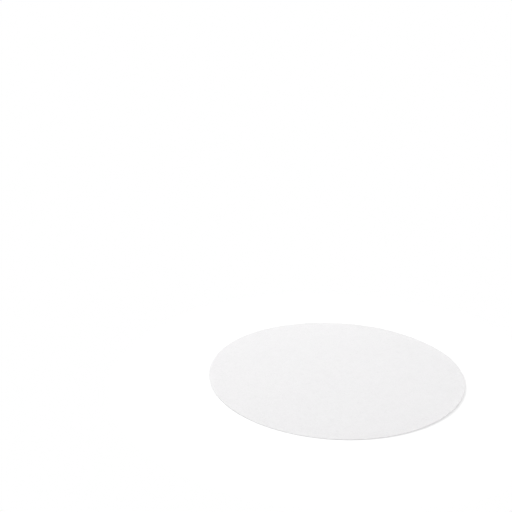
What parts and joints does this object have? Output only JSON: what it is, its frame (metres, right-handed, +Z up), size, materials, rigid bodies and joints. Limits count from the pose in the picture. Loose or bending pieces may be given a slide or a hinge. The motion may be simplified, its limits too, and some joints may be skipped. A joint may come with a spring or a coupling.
{
  "type": "filter paper disc",
  "caption": "Thin round sheet of soft white filter paper with a slight curl, to be folded into a funnel or laid flat on a perforated plate.",
  "frame": {"origin": "on the bench, under the middle of the disc", "axes": "+Z up through the sheet; +X across the curl, towards one lifted rim; +Y along the strip that touches the bench"},
  "size_m": [0.11, 0.11, 0.0009],
  "materials": {
    "filter_paper": "matte"
  },
  "bodies": {
    "root": {"filter_paper_disc": "filter_paper"}
  },
  "joints": []
}
